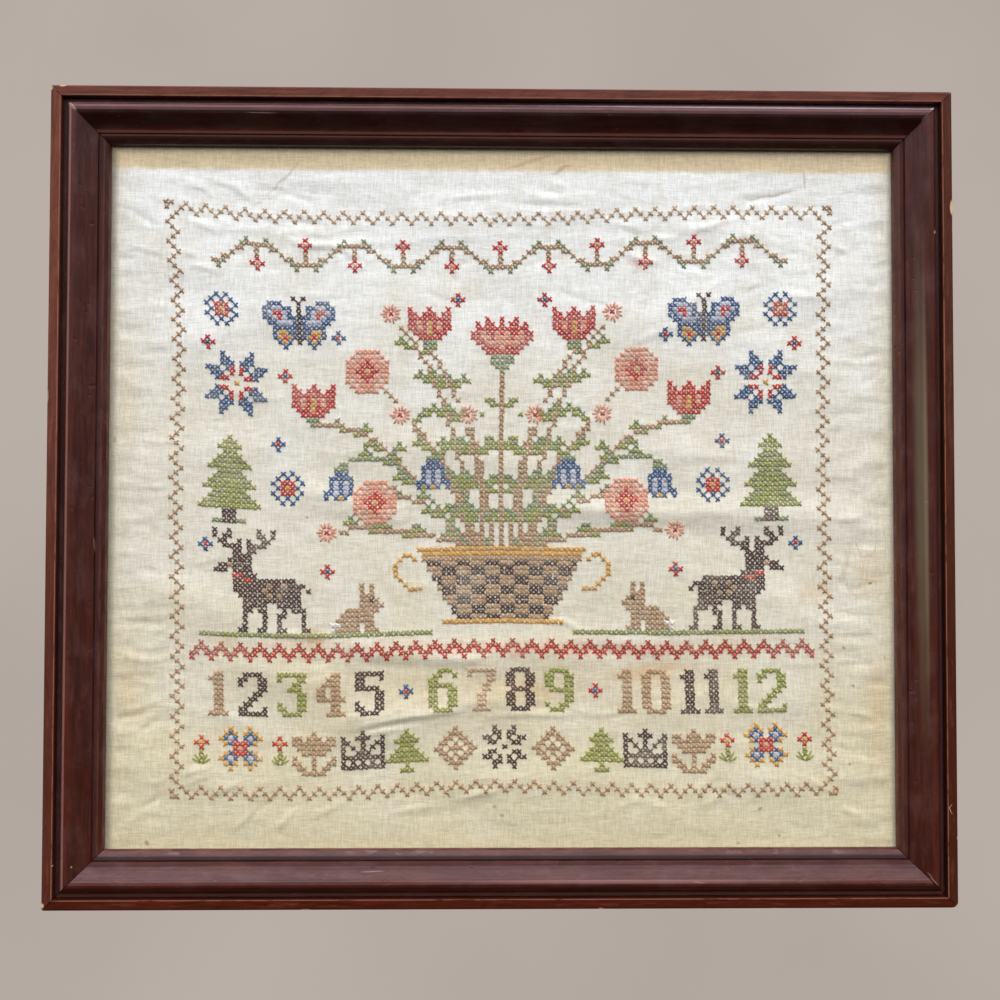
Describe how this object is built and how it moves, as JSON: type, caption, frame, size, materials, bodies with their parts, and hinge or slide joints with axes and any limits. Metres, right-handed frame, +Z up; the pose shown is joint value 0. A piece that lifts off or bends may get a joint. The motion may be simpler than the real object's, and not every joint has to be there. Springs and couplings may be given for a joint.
{
  "type": "framed cross stitch sampler",
  "caption": "Cross stitch sampler on cream linen, stretched on a board in a dark varnished wooden frame with a raised shoulder and a flat outer edging.",
  "frame": {"origin": "on the back of the top rail, midway between the sides and 20 mm below the frame's top edge, where it hangs", "axes": "+X to the right of someone facing the sampler, +Y out of its back towards the wall, +Z up"},
  "size_m": [0.56, 0.0215, 0.506],
  "materials": {
    "varnished_moulding": "dark red-brown varnish, semi-gloss, worn along its edges",
    "varnished_edging": "reddish brown varnish, satin, chipped at the corners",
    "linen": "plain weave, aged, with faint stains",
    "board": "matte"
  },
  "bodies": {
    "root": {"rail_top": "varnished_moulding", "rail_bottom": "varnished_moulding", "rail_left": "varnished_moulding", "rail_right": "varnished_moulding", "edging_top": "varnished_edging", "edging_bottom": "varnished_edging", "edging_left": "varnished_edging", "edging_right": "varnished_edging", "sampler_cloth": "linen", "backing_board": "board"}
  },
  "joints": []
}
